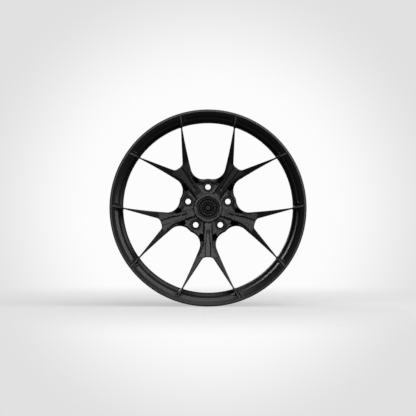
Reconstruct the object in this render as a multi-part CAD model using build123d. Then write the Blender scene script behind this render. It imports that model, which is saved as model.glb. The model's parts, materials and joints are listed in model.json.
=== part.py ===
from build123d import *
import math
import os

# A forged racing wheel, 19 x 9J, ET35, five 112 mm lug holes. Millimetres.
# Each piece is drawn with the wheel's axis along +Z and its front up, and stand_up()
# then turns it, so that the wheel spins about Y, its front looks to -Y and +Z is up.
# The origin is the wheel's centre, midway between the two flanges' outer faces.

# Rim contour
BEAD_R = 243.7
RIM_WIDTH = 228.6
FLANGE_HEIGHT = 17.3
FLANGE_ROOM = 12.7
FLANGE_CURL_R = 9.5
HEEL_R = 6.5
SEAT_WIDTH = 22.0
SEAT_ANGLE = 5.0
HUMP_HEIGHT = 1.5
WALL = 3.8
WELL_INNER_R = 227.6
WELL_FRONT_Z = 73.0
WELL_REAR_Z = 28.4
LIP_LAND = 5.5
PANEL_END_R = 246.4
PANEL_DROP = 3.7
LEDGE_END_R = 239.0
BARREL_WAIST_R = 236.6

# Hub and bolt circle
OFFSET = 35.0
PCD = 112.0
SPOKES = 5
LUG_HOLE_R = 7.4
HUB_BORE_R = 33.3
HUB_RING_R = 36.3
HUB_RING_DEPTH = 11.0
PAD_R = 74.0
PAD_POCKET_DEPTH = 9.0
COLLAR_Z = 73.0
COLLAR_IN_R = 30.0
COLLAR_OUT_R = 38.2
WEB_Z = 65.0
BOSS_R = 22.4
RAMP_START = 61.5
RAMP_SLOPE = 0.2
SPOT_FACE_R = 15.3
BOSS_BEVEL = 3.8
SEAT_FLANGE_R = 13.75
SEAT_BODY_R = 12.4
SEAT_MOUTH_R = 10.5
SEAT_LIP = 1.6
SEAT_LENGTH = 17.0
SEAT_CONE = 30.0

# Spokes, measured along a spoke's own axis (x) and across it (y)
WAIST_X = 97.3
WAIST_Y = 21.1
SPINE_Y = 10.4
SPINE_WAIST_Y = 12.3
SPINE_FORK_Y = 27.0
SHOULDER_X = 89.8
SHOULDER_STEP = 4.5
CHANNEL_START_X = 57.5
CHANNEL_DEPTH = 3.2
SCALLOP_X = 78.0
SCALLOP_Y = 18.5
SCALLOP_FLOOR_R = 2.0
SCALLOP_TOP_R = 18.2
SCALLOP_LOW_Z = 44.0
SCALLOP_TOP_Z = 86.0
FORK_X = 131.6
FORK_Y = 7.2
ARM_TIP = (213.7, 68.5)
ARM_ANGLE = 29.6
ARM_TIP_WIDTH = 2.7
ARM_OUTER_MID = (155.0, 42.6)
ARM_INNER_ANGLE = 33.6
ARM_LEAVE_ANGLE = 22.3
CREASE_R = 133.7
CREASE_Z = 84.5
ARM_END_R = 222.0
ARM_END_Z = 120.6
ARM_FOOT_R = 205.0
ARM_FOOT_Z = 80.0
RIB_FLANK = 8.0
BUTTRESS_START = 8.0
BUTTRESS_END = 44.0
BUTTRESS_SMALL_SIDE = 9.1
BUTTRESS_BIG_SIDE = 12.1
DISH_START_R = 44.2
DISH_START_Z = 71.6
CLOCKING = -18.0

# Centre cap
CAP_R = 28.7
CAP_FACE_Z = 71.4
CAP_FLANGE = 4.0
CAP_BORE_R = 27.4
CAP_PLUG_R = 27.2
CAP_PLUG_LENGTH = 13.0
CAP_INLAY_R = 18.4
CAP_RECESS = 2.4
CAP_FLOOR = 1.3
CAP_GROOVE_DROP = 6.0
CAP_GROOVE_WIDTH = 2.8
CAP_GROOVE_DEPTH = 2.2
CAP_TICKS = 24
O_RING_WIRE_R = 1.2

# Valve
VALVE_TURN = 21.6
VALVE_SEAT_R = 234.2
VALVE_HOLE_R = 5.65
SPOT_DEPTH = 0.25
SPOT_FRONT_R = 7.0
SPOT_BACK_R = 7.3
VALVE_WALL = WALL - 2 * SPOT_DEPTH
STEM_BASE_R = 4.2
STEM_R = 3.85
NECK_GAP = 0.03
STEM_LENGTH = 24.0
ELBOW_OUT = 6.8
HEAD_R = 6.8
HEAD_THICKNESS = 2.0
SEAL_R = 6.6
SEAL_THICKNESS = 2.2
WASHER_R = 6.5
WASHER_THICKNESS = 0.8
NUT_R = 6.35
NUT_TOP = 3.9
CORE_BORE_R = 2.6
CORE_BORE_START = 4.0
AIR_R = 1.3
PIN_R = 0.5
SPRING_LOW = 10.5
SPRING_HIGH = 18.0
SPRING_WIRE_R = 0.16
SPRING_COILS = 8
VALVE_CAP_R = 4.6
VALVE_CAP_LOW = 14.0
VALVE_CAP_HIGH = 25.9
VALVE_CAP_CEILING = 24.9
VALVE_CAP_FLUTES = 18

HALF_WIDTH = RIM_WIDTH / 2 + FLANGE_ROOM
LIP_R = BEAD_R + FLANGE_HEIGHT
SECTOR = 360 / SPOKES
WINDOW_OVERRUN = 60.0
HIGH = 200.0
ROOT_2 = math.sqrt(2)


def turned(points, radii):
    """A solid turned about Z from a closed outline of (radius, height) points."""
    outline = FilletPolyline(*points, radius=radii, close=True)
    return revolve(Plane.XZ * make_face(outline), Axis.Z)


def prism(face, low, high):
    return extrude(Pos(0, 0, low) * face, high - low)


def around(shape, count=SPOKES):
    """Copies of one shape, evenly spaced about Z."""
    return [Rot(Z=360 / count * turn) * shape for turn in range(count)]


def ring(inner, outer, low, high):
    return Pos(0, 0, (low + high) / 2) * (
        Cylinder(outer, high - low) - Cylinder(inner, high - low)
    )


def lug_place(turn=0):
    """The place of one lug hole's axis, halfway between two spokes."""
    return Rot(Z=SECTOR * (turn + 0.5)) * Pos(PCD / 2, 0, 0)


# ---------------------------------------------------------------- rim barrel

def rim_outline():
    """Points and corner radii of the rim's section, from the front lip round to it again."""
    half = RIM_WIDTH / 2
    seat_end_r = BEAD_R - SEAT_WIDTH * math.tan(math.radians(SEAT_ANGLE))
    seat_end = half - SEAT_WIDTH
    hump_r = seat_end_r + HUMP_HEIGHT
    shelf_r = seat_end_r - 0.7
    well_r = WELL_INNER_R + WALL
    front_out = WELL_FRONT_Z - WELL_INNER_R - WALL * ROOT_2
    rear_out = WELL_REAR_Z + WELL_INNER_R + WALL * ROOT_2
    front_in = WELL_FRONT_Z - WELL_INNER_R
    rear_in = WELL_REAR_Z + WELL_INNER_R
    waist_z = front_in + BARREL_WAIST_R
    panel_z = HALF_WIDTH - PANEL_DROP
    ledge_z = panel_z - (PANEL_END_R - LEDGE_END_R)
    corners = [
        (LIP_R, HALF_WIDTH, 2.5),
        (LIP_R, half, FLANGE_CURL_R),
        (BEAD_R, half, HEEL_R),
        (seat_end_r, seat_end + 1.2, 3),
        (hump_r, seat_end - 2.0, 4),
        (shelf_r, seat_end - 6.5, 5),
        (shelf_r - 0.3, front_out + shelf_r - 0.3, 6),
        (well_r, front_out + well_r, 3),
        (well_r, rear_out - well_r, 10),
        (shelf_r - 1.0, rear_out - shelf_r + 1.0, 8),
        (shelf_r, 6.5 - seat_end, 5),
        (hump_r, 2.0 - seat_end, 4),
        (seat_end_r, -seat_end - 1.2, 3),
        (BEAD_R, -half, HEEL_R),
        (LIP_R, -half, FLANGE_CURL_R),
        (LIP_R, -HALF_WIDTH, 2.5),
        (LIP_R - 7.0, -HALF_WIDTH, 1.5),
        (BEAD_R + 1.8, -half - 6.7, 8),
        (BEAD_R - 5.7, -half + 1.3, 10),
        (BARREL_WAIST_R - 0.2, rear_in - BARREL_WAIST_R + 0.2, 8),
        (WELL_INNER_R, WELL_REAR_Z, 8),
        (WELL_INNER_R, WELL_FRONT_Z, 5),
        (BARREL_WAIST_R, waist_z, 5),
        (LEDGE_END_R, ledge_z, 1.2),
        (PANEL_END_R, panel_z, 4),
        (LIP_R - LIP_LAND, HALF_WIDTH, 0.8),
    ]
    points = [(radius, height) for radius, height, _ in corners]
    return points, [corner for _, _, corner in corners]


def valve_seat_place():
    """Local frame on the barrel's front slope: +Z leaves the slope, towards the front and inward."""
    height = WELL_FRONT_Z - WELL_INNER_R + VALVE_SEAT_R
    return Rot(Z=VALVE_TURN) * Pos(VALVE_SEAT_R, 0, height) * Rot(Y=-45) * Pos(0, 0, -SPOT_DEPTH)


def stem_place():
    """Local frame of the stem's straight part: +Z runs to the front, along the wheel's axis."""
    out = (ELBOW_OUT - SPOT_DEPTH) / ROOT_2
    height = WELL_FRONT_Z - WELL_INNER_R + VALVE_SEAT_R + out
    return Rot(Z=VALVE_TURN) * Pos(VALVE_SEAT_R - out, 0, height)


def rim_barrel():
    points, radii = rim_outline()
    barrel = turned(points, radii)
    seat = valve_seat_place()
    hole = prism(Circle(VALVE_HOLE_R), -15, 15)
    front_spot = prism(Circle(SPOT_FRONT_R), 0, 10)
    back_spot = prism(Circle(SPOT_BACK_R), -VALVE_WALL - 6, -VALVE_WALL)
    return barrel - seat * hole - seat * front_spot - seat * back_spot


# -------------------------------------------------------------- forged centre

def arm_point(along, across):
    """A point on an arm, measured from its tip along its line, and to its left."""
    turn = math.radians(ARM_ANGLE)
    return (
        ARM_TIP[0] + along * math.cos(turn) - across * math.sin(turn),
        ARM_TIP[1] + along * math.sin(turn) + across * math.cos(turn),
    )


def waist_radius():
    """Radius of the arc that runs from a lug boss to a spoke's waist, touching both."""
    lug = Vector(PCD / 2, 0).rotate(Axis.Z, SECTOR / 2)
    dx = WAIST_X - lug.X
    dy = WAIST_Y - lug.Y
    return (dx * dx + dy * dy - BOSS_R * BOSS_R) / (2 * (BOSS_R - dy))


def big_window_face():
    """The window between two spokes, drawn symmetric about the lug hole's azimuth."""
    radius = waist_radius()
    lug = Vector(PCD / 2, 0).rotate(Axis.Z, SECTOR / 2)
    centre = Vector(WAIST_X, WAIST_Y + radius)
    boss_top = lug * (1 + BOSS_R / (PCD / 2))
    touch = lug + (centre - lug).normalized() * BOSS_R
    boss_middle = lug + (boss_top + touch - lug * 2).normalized() * BOSS_R
    arm_start = centre + Vector(0, -radius).rotate(Axis.Z, ARM_LEAVE_ANGLE)
    waist_middle = centre + (touch + arm_start - centre * 2).normalized() * radius
    tip = Vector(*arm_point(0, ARM_TIP_WIDTH / 2))
    beyond = Vector(*arm_point(WINDOW_OVERRUN, ARM_TIP_WIDTH / 2))
    half = [
        ThreePointArc(boss_top, boss_middle, touch),
        ThreePointArc(touch, waist_middle, arm_start),
        ThreePointArc(arm_start, ARM_OUTER_MID, tip),
        Line(tip, beyond),
    ]
    one_side = [Rot(Z=-SECTOR / 2) * edge for edge in half]
    other_side = [mirror(edge, Plane.XZ) for edge in one_side]
    far_end = one_side[-1] @ 1
    closing = Line(far_end, (far_end.X, -far_end.Y))
    return Rot(Z=SECTOR / 2) * make_face([*one_side, *other_side, closing])


def small_window_face():
    """The window between the two arms of one spoke."""
    tip = arm_point(0, -ARM_TIP_WIDTH / 2)
    beyond = arm_point(WINDOW_OVERRUN, -ARM_TIP_WIDTH / 2)
    corner_x = FORK_X + 3.6
    corner_y = tip[1] - (tip[0] - corner_x) * math.tan(math.radians(ARM_INNER_ANGLE))
    points = [
        (FORK_X, -FORK_Y),
        (FORK_X, FORK_Y),
        (corner_x, corner_y),
        tip,
        beyond,
        (beyond[0], -beyond[1]),
        (tip[0], -tip[1]),
        (corner_x, -corner_y),
    ]
    radii = [3, 3, 8, 0, 0, 0, 0, 8]
    return make_face(FilletPolyline(*points, radius=radii, close=True))


def dish_height(radius):
    """Height of the dished front between the hub and the crease."""
    slope = (CREASE_Z - DISH_START_Z) / (CREASE_R - DISH_START_R)
    return DISH_START_Z + slope * (radius - DISH_START_R)


def spoke_disc():
    """The turned blank: the dished front that the spines and arms keep, and the back."""
    front = [
        (COLLAR_IN_R, DISH_START_Z),
        (DISH_START_R, DISH_START_Z),
        (CREASE_R, CREASE_Z),
        (ARM_END_R, ARM_END_Z),
        (LIP_R - LIP_LAND - 6, HALF_WIDTH - 0.6),
        (LIP_R - LIP_LAND + 0.5, HALF_WIDTH - 0.2),
    ]
    back = [
        (LIP_R - LIP_LAND + 0.5, 106),
        (BARREL_WAIST_R, 79.5),
        (WELL_INNER_R + 2.4, 74),
        (ARM_FOOT_R, ARM_FOOT_Z),
        (CREASE_R, 50),
        (PAD_R, OFFSET),
        (COLLAR_IN_R, OFFSET),
    ]
    radii = [0, 30, 25, 80, 0, 0, 0, 0, 0, 30, 40, 12, 0]
    return turned(front + back, radii)


def spine_strip():
    """The top view of one spoke's raised spine, from the hub to beyond the fork."""
    half = [
        (0, SPINE_Y),
        (76, SPINE_Y + 0.6),
        (WAIST_X, SPINE_WAIST_Y),
        (CREASE_R, SPINE_FORK_Y),
        (CREASE_R + 30, SPINE_FORK_Y),
    ]
    other_half = [(x, -y) for x, y in reversed(half)]
    return make_face(Polyline(*half, *other_half, close=True))


def spines():
    strips = around(spine_strip())
    joined = strips[0]
    for strip in strips[1:]:
        joined += strip
    return joined


def boss_ramp():
    """A wedge that stays on the milled floor of a lug boss and rises to the window's edge."""
    reach = 95
    half_width = 45
    low = WEB_Z - 1
    rise = RAMP_SLOPE * (reach - RAMP_START)
    corners = [(RAMP_START, low), (RAMP_START, WEB_Z), (reach, WEB_Z + rise), (reach, low)]
    side = make_face(Polyline(*corners, close=True))
    wedge = extrude(Plane.XZ * side, half_width, both=True)
    return Rot(Z=SECTOR / 2) * wedge


def web_cutter():
    """What is milled away around the lug holes, between the collar and the shoulders."""
    plan = Circle(SHOULDER_X) - Circle(COLLAR_OUT_R) - spines()
    return prism(plan, WEB_Z, HIGH) - around(boss_ramp())


def shoulder_cutter():
    """What is milled away beside the spines, so that the shoulders lie a step below them."""
    start = SHOULDER_X - 0.01
    end = CREASE_R - 2
    start_z = dish_height(SHOULDER_X) - SHOULDER_STEP
    blank = turned([(start, start_z), (end, CREASE_Z - 0.4), (end, HIGH), (start, HIGH)], 0)
    return blank - prism(spines(), 0, HIGH + 1)


def scallops():
    """Conical pockets beside each spine, between the lug boss and the shoulder."""
    section = [
        (0, SCALLOP_LOW_Z),
        (SCALLOP_FLOOR_R, SCALLOP_LOW_Z),
        (SCALLOP_TOP_R, SCALLOP_TOP_Z),
        (0, SCALLOP_TOP_Z),
    ]
    cone = turned(section, 0)
    strips = prism(spines(), 0, HIGH)
    left = Pos(SCALLOP_X, SCALLOP_Y, 0) * cone - strips
    right = Pos(SCALLOP_X, -SCALLOP_Y, 0) * cone - strips
    return [*around(left), *around(right)]


def spine_channel():
    """The groove along a spine, widening from a blunt start and open at the fork."""
    half = [
        (CHANNEL_START_X, 2.2),
        (63, 3.3),
        (82, 4.3),
        (98, 5.8),
        (112, 6.3),
        (FORK_X + 5, 6.3),
    ]
    other_half = [(x, -y) for x, y in reversed(half)]
    plan = make_face(Polyline(*half, *other_half, close=True))
    start = CHANNEL_START_X - 3.5
    full_depth_r = 90
    end = FORK_X + 12
    floor = turned(
        [
            (start, dish_height(start) - 1.2),
            (full_depth_r, dish_height(full_depth_r) - CHANNEL_DEPTH),
            (end, CREASE_Z - CHANNEL_DEPTH - 0.2),
            (end, HIGH),
            (start, HIGH),
        ],
        0,
    )
    return floor & prism(plan, 0, HIGH + 1)


def boss_bevel():
    """A cone that bevels a lug boss along the window's edge."""
    inner = BOSS_R - BOSS_BEVEL
    top = WEB_Z + RAMP_SLOPE * (PCD / 2 + inner - RAMP_START) + 0.2
    reach = 8
    outer = inner + reach
    tool = turned([(inner, top), (outer, top - reach), (outer, HIGH), (inner, HIGH)], 0)
    outside = prism(Circle(HIGH) - Circle(PCD / 2 + 6), 0, HIGH + 1)
    return (lug_place() * tool) & outside


def back_pocket():
    """A lightening pocket in the back of one spoke."""
    corners = [(84, -8), (122, -13), (122, 13), (84, 8)]
    plan = make_face(FilletPolyline(*corners, radius=6, close=True))
    floor = turned([(70, 0), (70, 55), (82, 57), (128, 69), (128, 0)], 0)
    return floor & prism(plan, -1, HIGH)


def pad_pocket():
    """A pocket in the hub's mounting pad, between two lug holes."""
    corners = [(50, -11), (66, -14), (66, 14), (50, 11)]
    plan = make_face(FilletPolyline(*corners, radius=5, close=True))
    return prism(plan, OFFSET - 1, OFFSET + PAD_POCKET_DEPTH)


def arm_rib(side):
    """The narrow rib that carries on an arm's line to the lip, on sloping sides.

    Each station is a distance beyond the arm's tip, the half width of the crest and of the
    foot, and the crest's height.
    """
    stations = [
        (-12, 1.1, 1.1, 114.0),
        (3, 1.2, 1.2, 120.2),
        (9, 1.7, 2.4, 121.6),
        (14, 1.8, 4.6, 122.4),
        (24, 1.8, 4.8, 125.2),
        (31, 1.9, 4.9, 126.7),
    ]
    turn = math.radians(ARM_ANGLE)
    across = (-math.sin(turn), math.cos(turn), 0)
    outward = (math.cos(turn), math.sin(turn), 0)
    sections = []
    for along, top, foot, height in stations:
        base = Plane(origin=(*arm_point(along, 0), 0), x_dir=across, z_dir=outward)
        low = 92 + along * 0.2
        flank_low = height - RIB_FLANK
        outline = Polyline(
            (-foot, low),
            (-foot, flank_low),
            (-top, height),
            (top, height),
            (foot, flank_low),
            (foot, low),
            close=True,
        )
        sections.append(base * make_face(outline))
    rib = loft(sections, ruled=True)
    return rib if side > 0 else mirror(rib, Plane.XZ)


def buttress(side):
    """The sloping pad beside an arm's rib, which ends the ledge of the two windows."""
    near = arm_point(BUTTRESS_START, -BUTTRESS_SMALL_SIDE)
    far = arm_point(BUTTRESS_END, -BUTTRESS_SMALL_SIDE)
    near_big = arm_point(BUTTRESS_START, BUTTRESS_BIG_SIDE)
    far_big = arm_point(BUTTRESS_END, BUTTRESS_BIG_SIDE)
    plan = make_face(Polyline(near, far, far_big, near_big, close=True))
    panel_slope = PANEL_DROP / (LIP_R - LIP_LAND - PANEL_END_R)
    panel_z = HALF_WIDTH - PANEL_DROP
    toe_r = BARREL_WAIST_R - 0.6
    pad_r = toe_r + 4
    pad_z = panel_z - panel_slope * (PANEL_END_R - pad_r)
    buried_r = PANEL_END_R + 5
    buried_z = panel_z + panel_slope * 5
    band = turned(
        [(toe_r, pad_z - 7), (pad_r, pad_z), (buried_r, buried_z), (buried_r, 108), (pad_r, 100)],
        0,
    )
    pad = band & prism(plan, 80, HIGH)
    return pad if side > 0 else mirror(pad, Plane.XZ)


def forged_centre(barrel):
    centre = spoke_disc()
    centre += ring(COLLAR_IN_R, COLLAR_OUT_R, OFFSET, COLLAR_Z)
    window_faces = [*around(big_window_face()), *around(small_window_face())]
    centre -= [prism(face, -HIGH, HIGH) for face in window_faces]
    centre -= web_cutter()
    centre -= shoulder_cutter()
    centre -= scallops()
    centre -= around(spine_channel())
    centre -= around(boss_bevel())
    centre -= around(back_pocket())
    centre -= around(pad_pocket())
    centre += [piece for side in (1, -1) for piece in around(arm_rib(side))]
    centre += [piece for side in (1, -1) for piece in around(buttress(side))]
    bore = prism(Circle(CAP_BORE_R), 0, HIGH)
    mouth = prism(Circle(COLLAR_IN_R - 0.9), CAP_FACE_Z - CAP_FLANGE, HIGH)
    ring_seat = prism(Circle(HUB_RING_R), 0, OFFSET + HUB_RING_DEPTH)
    centre -= [bore, mouth, ring_seat]
    for turn in range(SPOKES):
        lug = lug_place(turn)
        centre -= lug * prism(Circle(LUG_HOLE_R), 0, HIGH)
        centre -= lug * prism(Circle(SEAT_BODY_R), WEB_Z - SEAT_LENGTH, HIGH)
        centre -= lug * prism(Circle(SEAT_FLANGE_R), WEB_Z - SEAT_LIP, HIGH)
        centre -= lug * prism(Circle(SPOT_FACE_R), WEB_Z, HIGH)
    tyre_side = ring(BARREL_WAIST_R + 3.2, HIGH * 2, -HIGH, RIM_WIDTH / 2 + 1.7)
    return centre - tyre_side - barrel


# ------------------------------------------------------------- hub hardware

def lug_seat(turn):
    """A steel insert with a 60 degree cone for the lug bolt or nut."""
    depth = (SEAT_MOUTH_R - LUG_HOLE_R) / math.tan(math.radians(SEAT_CONE))
    face = WEB_Z + 0.5
    body = turned(
        [
            (LUG_HOLE_R, WEB_Z - SEAT_LENGTH),
            (SEAT_BODY_R, WEB_Z - SEAT_LENGTH),
            (SEAT_BODY_R, WEB_Z - SEAT_LIP),
            (SEAT_FLANGE_R, WEB_Z - SEAT_LIP),
            (SEAT_FLANGE_R, face),
            (SEAT_MOUTH_R, face),
            (LUG_HOLE_R, face - depth),
        ],
        [0, 0, 0, 0, 0.4, 0.3, 0],
    )
    return lug_place(turn) * body


def hub_ring():
    return turned(
        [
            (HUB_BORE_R, OFFSET + 0.4),
            (HUB_RING_R, OFFSET + 0.4),
            (HUB_RING_R, OFFSET + HUB_RING_DEPTH),
            (HUB_BORE_R, OFFSET + HUB_RING_DEPTH),
        ],
        [1.2, 0.4, 0.4, 0.4],
    )


def cap_body():
    """The cap: a dished face with raised rings, a flange and a hollow plug."""
    under = CAP_FACE_Z - CAP_FLANGE
    recess = CAP_FACE_Z - CAP_RECESS
    floor = CAP_FACE_Z - CAP_FLOOR
    groove = under - CAP_GROOVE_DROP
    groove_top = groove + CAP_GROOVE_WIDTH / 2
    groove_low = groove - CAP_GROOVE_WIDTH / 2
    groove_r = CAP_PLUG_R - CAP_GROOVE_DEPTH
    plug_low = under - CAP_PLUG_LENGTH
    plug_in_r = CAP_PLUG_R - 4.4
    outline = [
        (0, recess),
        (CAP_INLAY_R, recess),
        (CAP_INLAY_R, CAP_FACE_Z - 0.6),
        (CAP_INLAY_R + 1.4, CAP_FACE_Z - 0.6),
        (CAP_INLAY_R + 1.8, floor),
        (CAP_R - 3.6, floor),
        (CAP_R - 2.8, CAP_FACE_Z),
        (CAP_R, CAP_FACE_Z),
        (CAP_R, under),
        (CAP_PLUG_R, under),
        (CAP_PLUG_R, groove_top),
        (groove_r, groove_top),
        (groove_r, groove_low),
        (CAP_PLUG_R, groove_low),
        (CAP_PLUG_R, plug_low),
        (plug_in_r, plug_low),
        (plug_in_r, under),
        (0, under),
    ]
    radii = [0, 0, 0.3, 0.4, 0.3, 0.6, 0.4, 0.9, 0.3, 0, 0.3, 0, 0, 0.3, 0.8, 0.4, 1.5, 0]
    body = turned(outline, radii)
    tick = Pos(CAP_R - 6.4, 0, floor) * Box(2.6, 1.6, 1.4)
    return body + around(tick, CAP_TICKS)


def cap_inlay():
    """A disc let into the cap, with two rings round a plain five-sided dome."""
    low = CAP_FACE_Z - CAP_RECESS
    floor = low + 1.0
    ring_top = low + 1.5
    edge_r = CAP_INLAY_R - 0.1
    disc = turned(
        [
            (0, low),
            (edge_r, low),
            (edge_r, ring_top),
            (edge_r - 1.5, ring_top),
            (edge_r - 2.1, floor),
            (12.6, floor),
            (12.2, ring_top),
            (11.0, ring_top),
            (10.6, floor),
            (0, floor),
        ],
        [0, 0, 0.3, 0.3, 0.2, 0.2, 0.2, 0.2, 0.2, 0],
    )
    dome = extrude(Pos(0, 0, low + 0.8) * RegularPolygon(7.0, 5), 1.4, taper=25)
    return disc + dome


def cap_o_ring():
    groove = CAP_FACE_Z - CAP_FLANGE - CAP_GROOVE_DROP
    groove_r = CAP_PLUG_R - CAP_GROOVE_DEPTH
    return Pos(0, 0, groove) * Torus(groove_r + O_RING_WIRE_R, O_RING_WIRE_R)


# -------------------------------------------------------------------- valve

def valve_stem():
    """A bent clamp-in stem: a head inside the tyre, an elbow, and a threaded straight end."""
    seat = valve_seat_place()
    straight = stem_place()
    head_top = -VALVE_WALL - SEAL_THICKNESS
    head_low = head_top - HEAD_THICKNESS
    head = seat * prism(Circle(HEAD_R), head_low, head_top)
    neck = seat * prism(Circle(STEM_BASE_R), head_low, ELBOW_OUT)
    elbow = straight * Sphere(STEM_BASE_R)
    tube = straight * prism(Circle(STEM_R), 0, STEM_LENGTH)
    stem = head + neck + elbow + tube
    inlet = seat * prism(Circle(AIR_R), head_low - 1, ELBOW_OUT)
    passage = straight * prism(Circle(AIR_R), 0, STEM_LENGTH)
    turn = straight * Sphere(AIR_R)
    core_bore = straight * prism(Circle(CORE_BORE_R), CORE_BORE_START, STEM_LENGTH + 1)
    return stem - inlet - passage - turn - core_bore


def valve_seal():
    """The rubber grommet under the head, with a sleeve that fills the hole."""
    flange = ring(STEM_BASE_R + NECK_GAP, SEAL_R, -VALVE_WALL - SEAL_THICKNESS, -VALVE_WALL)
    sleeve = ring(STEM_BASE_R + NECK_GAP, VALVE_HOLE_R, -VALVE_WALL, -0.2)
    return valve_seat_place() * (flange + sleeve)


def valve_washer():
    return valve_seat_place() * ring(STEM_BASE_R + NECK_GAP, WASHER_R, 0, WASHER_THICKNESS)


def valve_nut():
    low = WASHER_THICKNESS
    blank = prism(RegularPolygon(NUT_R, 6), low, NUT_TOP) - Cylinder(STEM_BASE_R, 20)
    rounding = turned([(0, low), (7, low), (7, NUT_TOP - 0.7), (5.5, NUT_TOP), (0, NUT_TOP)], 0)
    return valve_seat_place() * (blank & rounding)


def valve_core_body():
    body = turned(
        [
            (1.5, SPRING_LOW),
            (0.7, SPRING_LOW),
            (0.7, 9.0),
            (1.9, 9.0),
            (2.0, 20.0),
            (2.55, 20.6),
            (2.55, 23.0),
            (1.5, 23.0),
        ],
        0,
    )
    return stem_place() * body


def valve_core_seal():
    return stem_place() * ring(2.02, 2.55, 15.5, 18.5)


def valve_core_pin():
    """The pin, with the cup that shuts the core below and the collar that the spring lifts."""
    rod = Pos(0, 0, 15.9) * Cylinder(PIN_R, 15.6)
    cup = ring(0, 1.6, 8.0, 8.95)
    collar = ring(0, 1.3, SPRING_HIGH, SPRING_HIGH + 0.6)
    return stem_place() * (rod + cup + collar)


def valve_core_spring():
    """The coil that lifts the pin; it stands on the core's inner ledge."""
    length = SPRING_HIGH - SPRING_LOW - 2 * SPRING_WIRE_R
    coil = Helix(pitch=length / SPRING_COILS, height=length, radius=1.05)
    path = Pos(0, 0, SPRING_LOW + SPRING_WIRE_R) * coil
    section = Plane(origin=path @ 0, z_dir=path % 0) * Circle(SPRING_WIRE_R)
    return stem_place() * sweep(section, path=path)


def valve_cap():
    """A fluted cap over the stem's end, closed in front."""
    inner_r = STEM_R + 0.05
    body = turned(
        [
            (inner_r, VALVE_CAP_LOW),
            (VALVE_CAP_R, VALVE_CAP_LOW),
            (VALVE_CAP_R, VALVE_CAP_HIGH),
            (0, VALVE_CAP_HIGH),
            (0, VALVE_CAP_CEILING),
            (inner_r, VALVE_CAP_CEILING),
        ],
        [0.2, 0.5, 1.2, 0, 0, 0],
    )
    flute = Pos(VALVE_CAP_R + 0.35, 0, 18) * Cylinder(0.55, 9)
    return stem_place() * (body - around(flute, VALVE_CAP_FLUTES))


def valve_cap_seal():
    """The disc inside the valve cap that seals on the stem's end."""
    return stem_place() * ring(0, STEM_R - 0.1, STEM_LENGTH + 0.05, VALVE_CAP_CEILING)


def stand_up(shape):
    """Turns a piece from the drawing's frame to the wheel's: one spoke points straight down."""
    return Rot(X=90) * Rot(Z=CLOCKING) * shape


def write(name, shape):
    shape = stand_up(shape)
    solids = shape.solids()
    whole = solids[0] if len(solids) == 1 else Compound(children=list(solids))
    whole.label = name
    export_step(whole, f"parts/{name}.step")
    print(name, len(solids), "solids", round(sum(solid.volume for solid in solids)))


def main():
    os.makedirs("parts", exist_ok=True)
    barrel = rim_barrel()
    write("rim_barrel", barrel)
    write("forged_centre", forged_centre(barrel))
    for turn in range(SPOKES):
        write(f"lug_seat_{turn + 1}", lug_seat(turn))
    for build in (
        hub_ring,
        cap_body,
        cap_inlay,
        cap_o_ring,
        valve_stem,
        valve_seal,
        valve_washer,
        valve_nut,
        valve_core_body,
        valve_core_seal,
        valve_core_pin,
        valve_core_spring,
        valve_cap,
        valve_cap_seal,
    ):
        write(build.__name__, build())


main()
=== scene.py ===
import json
import math

import bpy
import bmesh
import numpy as np
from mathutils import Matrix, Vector
from mathutils.bvhtree import BVHTree
from mathutils.geometry import delaunay_2d_cdt
from mathutils.kdtree import KDTree


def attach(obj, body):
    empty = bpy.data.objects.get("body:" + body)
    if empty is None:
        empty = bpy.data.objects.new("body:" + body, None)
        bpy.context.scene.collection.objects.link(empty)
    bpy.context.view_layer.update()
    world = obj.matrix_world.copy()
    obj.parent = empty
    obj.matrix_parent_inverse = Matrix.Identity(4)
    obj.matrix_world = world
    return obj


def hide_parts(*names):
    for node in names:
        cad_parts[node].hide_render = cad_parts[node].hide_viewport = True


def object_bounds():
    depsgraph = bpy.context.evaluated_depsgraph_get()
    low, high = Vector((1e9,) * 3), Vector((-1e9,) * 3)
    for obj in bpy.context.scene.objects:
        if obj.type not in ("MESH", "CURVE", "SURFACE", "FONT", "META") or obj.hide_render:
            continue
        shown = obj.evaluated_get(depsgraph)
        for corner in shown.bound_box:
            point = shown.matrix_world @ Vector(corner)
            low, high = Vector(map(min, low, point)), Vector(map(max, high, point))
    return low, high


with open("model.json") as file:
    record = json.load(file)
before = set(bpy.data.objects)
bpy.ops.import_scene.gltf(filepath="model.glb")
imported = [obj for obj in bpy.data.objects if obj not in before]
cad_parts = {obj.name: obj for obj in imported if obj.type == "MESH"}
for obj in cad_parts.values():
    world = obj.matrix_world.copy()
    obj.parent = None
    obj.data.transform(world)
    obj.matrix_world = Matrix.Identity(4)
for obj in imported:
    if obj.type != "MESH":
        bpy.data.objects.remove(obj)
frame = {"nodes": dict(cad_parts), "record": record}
nodes = frame["nodes"]
cad_low, cad_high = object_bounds()

# Places and sizes read from the frame, in metres
LIP_R = (cad_high[0] - cad_low[0]) / 2
LIP_Y = cad_low[1]
FLOOR_Z = cad_low[2]

# Units
MM = 0.001
MM_PER_METRE = 1000

# Camera: straight at the front face, from far away
CAMERA_DISTANCE = 6.0
LENS = 196.25
SENSOR = 36.0

# Studio; places and sizes are in metres
FLOOR_R = 1.6
FLOOR_FADE_START = 0.3
FLOOR_GLOW = 0.50
FLOOR_STEPS = 96
DOME_R = 12.0
DOME_AROUND = 64
DOME_RINGS = 32
GLOW_NEAR = 0.9
GLOW_FAR = 2.0
GLOW_MIDDLE = 0.97
GLOW_EDGE = 0.75
PAPER_CLOUDS = 3.0
PAPER_SHADE = 0.985
WORLD_STRENGTH = 0.06

# Grains of the finishes, in cells per metre
PAINT_GRAIN = 1400.0
PAINT_PEEL = 260.0
PAINT_PATCHES = 34.0
METAL_GRAIN = 900.0
RUBBER_PATCHES = 120.0
RUBBER_SHEEN = 700.0
RUBBER_GRAIN = 1500.0

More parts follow.
